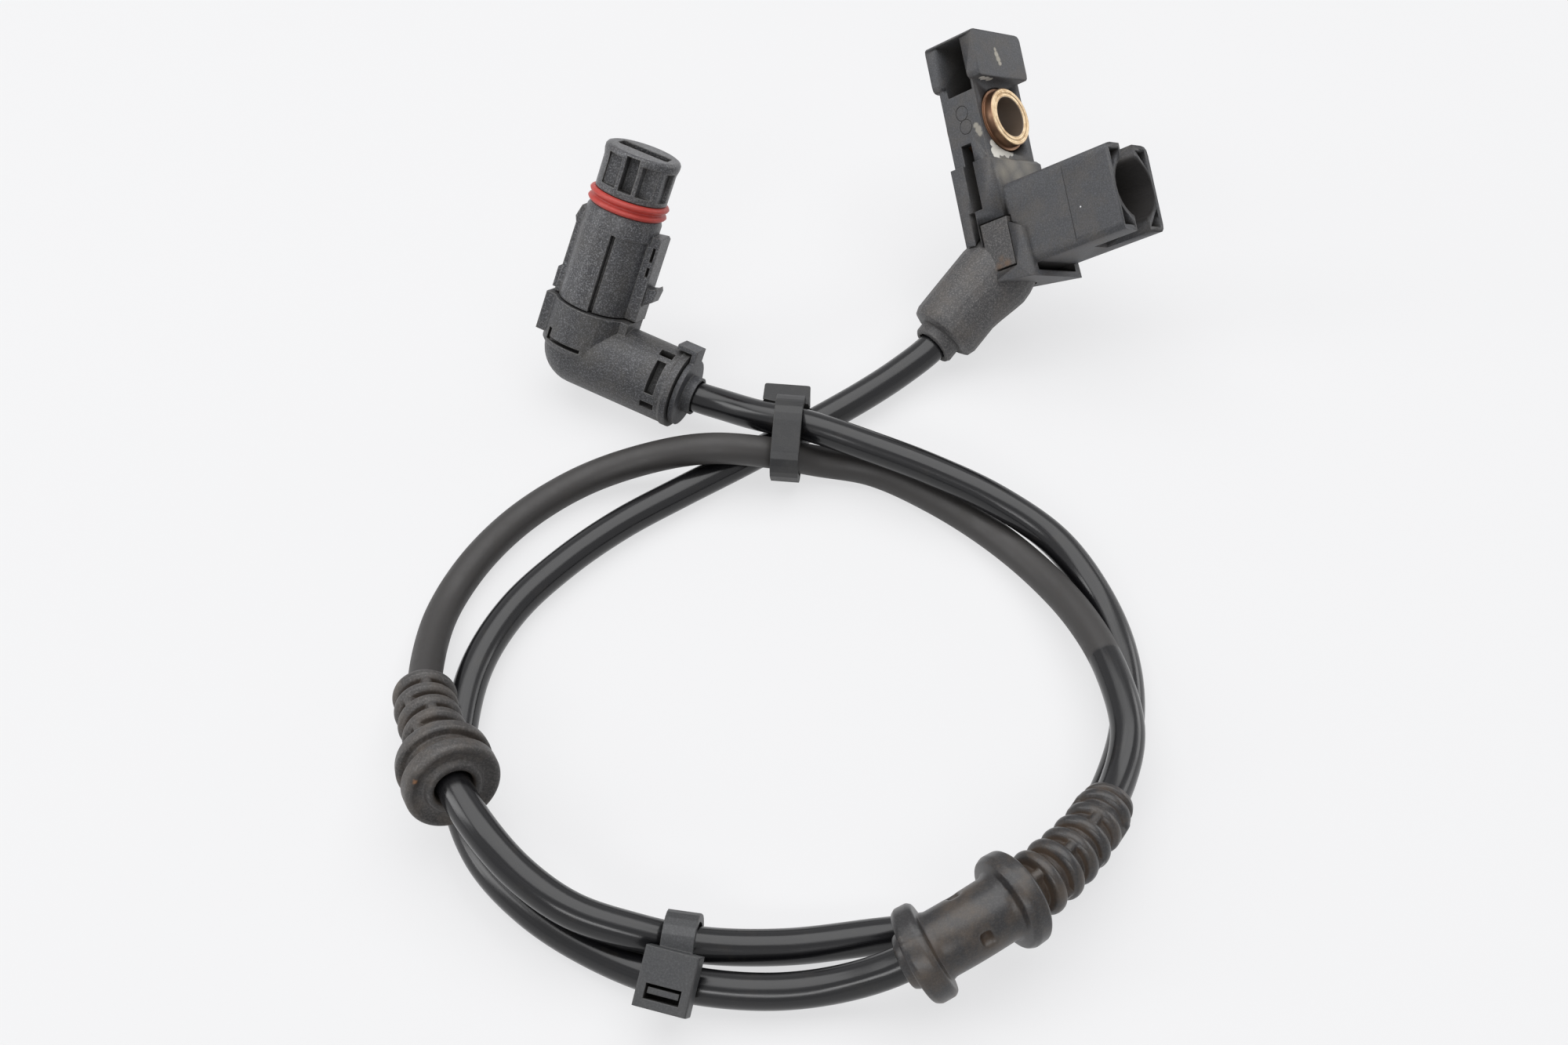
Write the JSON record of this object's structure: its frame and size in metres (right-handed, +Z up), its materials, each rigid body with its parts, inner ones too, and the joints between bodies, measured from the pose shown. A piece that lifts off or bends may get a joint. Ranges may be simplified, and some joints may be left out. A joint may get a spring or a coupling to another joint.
{
  "type": "brake pad wear sensor",
  "caption": "Coiled sensor lead with an elbow plug and red seal at one end, a bolt-on carrier with a bush and a side socket at the other, ribbed grommets and cable ties.",
  "frame": {"origin": "middle of the footprint of everything but the cable, on the plane the lead lies on", "axes": "+Z up from the plane; -Y towards the viewer of the picture; +X to the viewer's right"},
  "size_m": [0.1266, 0.185, 0.0443],
  "materials": {
    "carrier_nylon": "moulded glass-filled nylon, slightly dusty",
    "boot_nylon": "rough overmoulded nylon",
    "plug_nylon": "glass-filled nylon with a fine sparkle",
    "elbow_nylon": "glass-filled nylon with a fine sparkle",
    "retainer_nylon": "moulded nylon",
    "seal_silicone": "satin red silicone",
    "bush_brass": "worn, yellow-brown, reddish edge",
    "contact_metal": "tinned contact pin",
    "core_insulation": "smooth insulated core",
    "grommet_rubber": "matt moulded rubber with brown dust",
    "tie_nylon": "satin nylon",
    "cable_sheath": "smooth extruded sheath with light scratches"
  },
  "bodies": {
    "root": {"sensor_carrier": "carrier_nylon", "bolt_bush": "bush_brass", "boot_overmould": "boot_nylon", "plug_body": "plug_nylon", "plug_seal": "seal_silicone", "elbow_cover": "elbow_nylon", "cable_retainer": "retainer_nylon", "socket_pin_1": "contact_metal", "socket_pin_2": "contact_metal", "plug_pin_1": "contact_metal", "plug_pin_2": "contact_metal", "head_core_1": "core_insulation", "head_core_2": "core_insulation", "elbow_core_1": "core_insulation", "elbow_core_2": "core_insulation", "left_grommet": "grommet_rubber", "right_grommet": "grommet_rubber", "upper_tie": "tie_nylon", "lower_tie": "tie_nylon", "cable": "cable_sheath"}
  },
  "joints": []
}
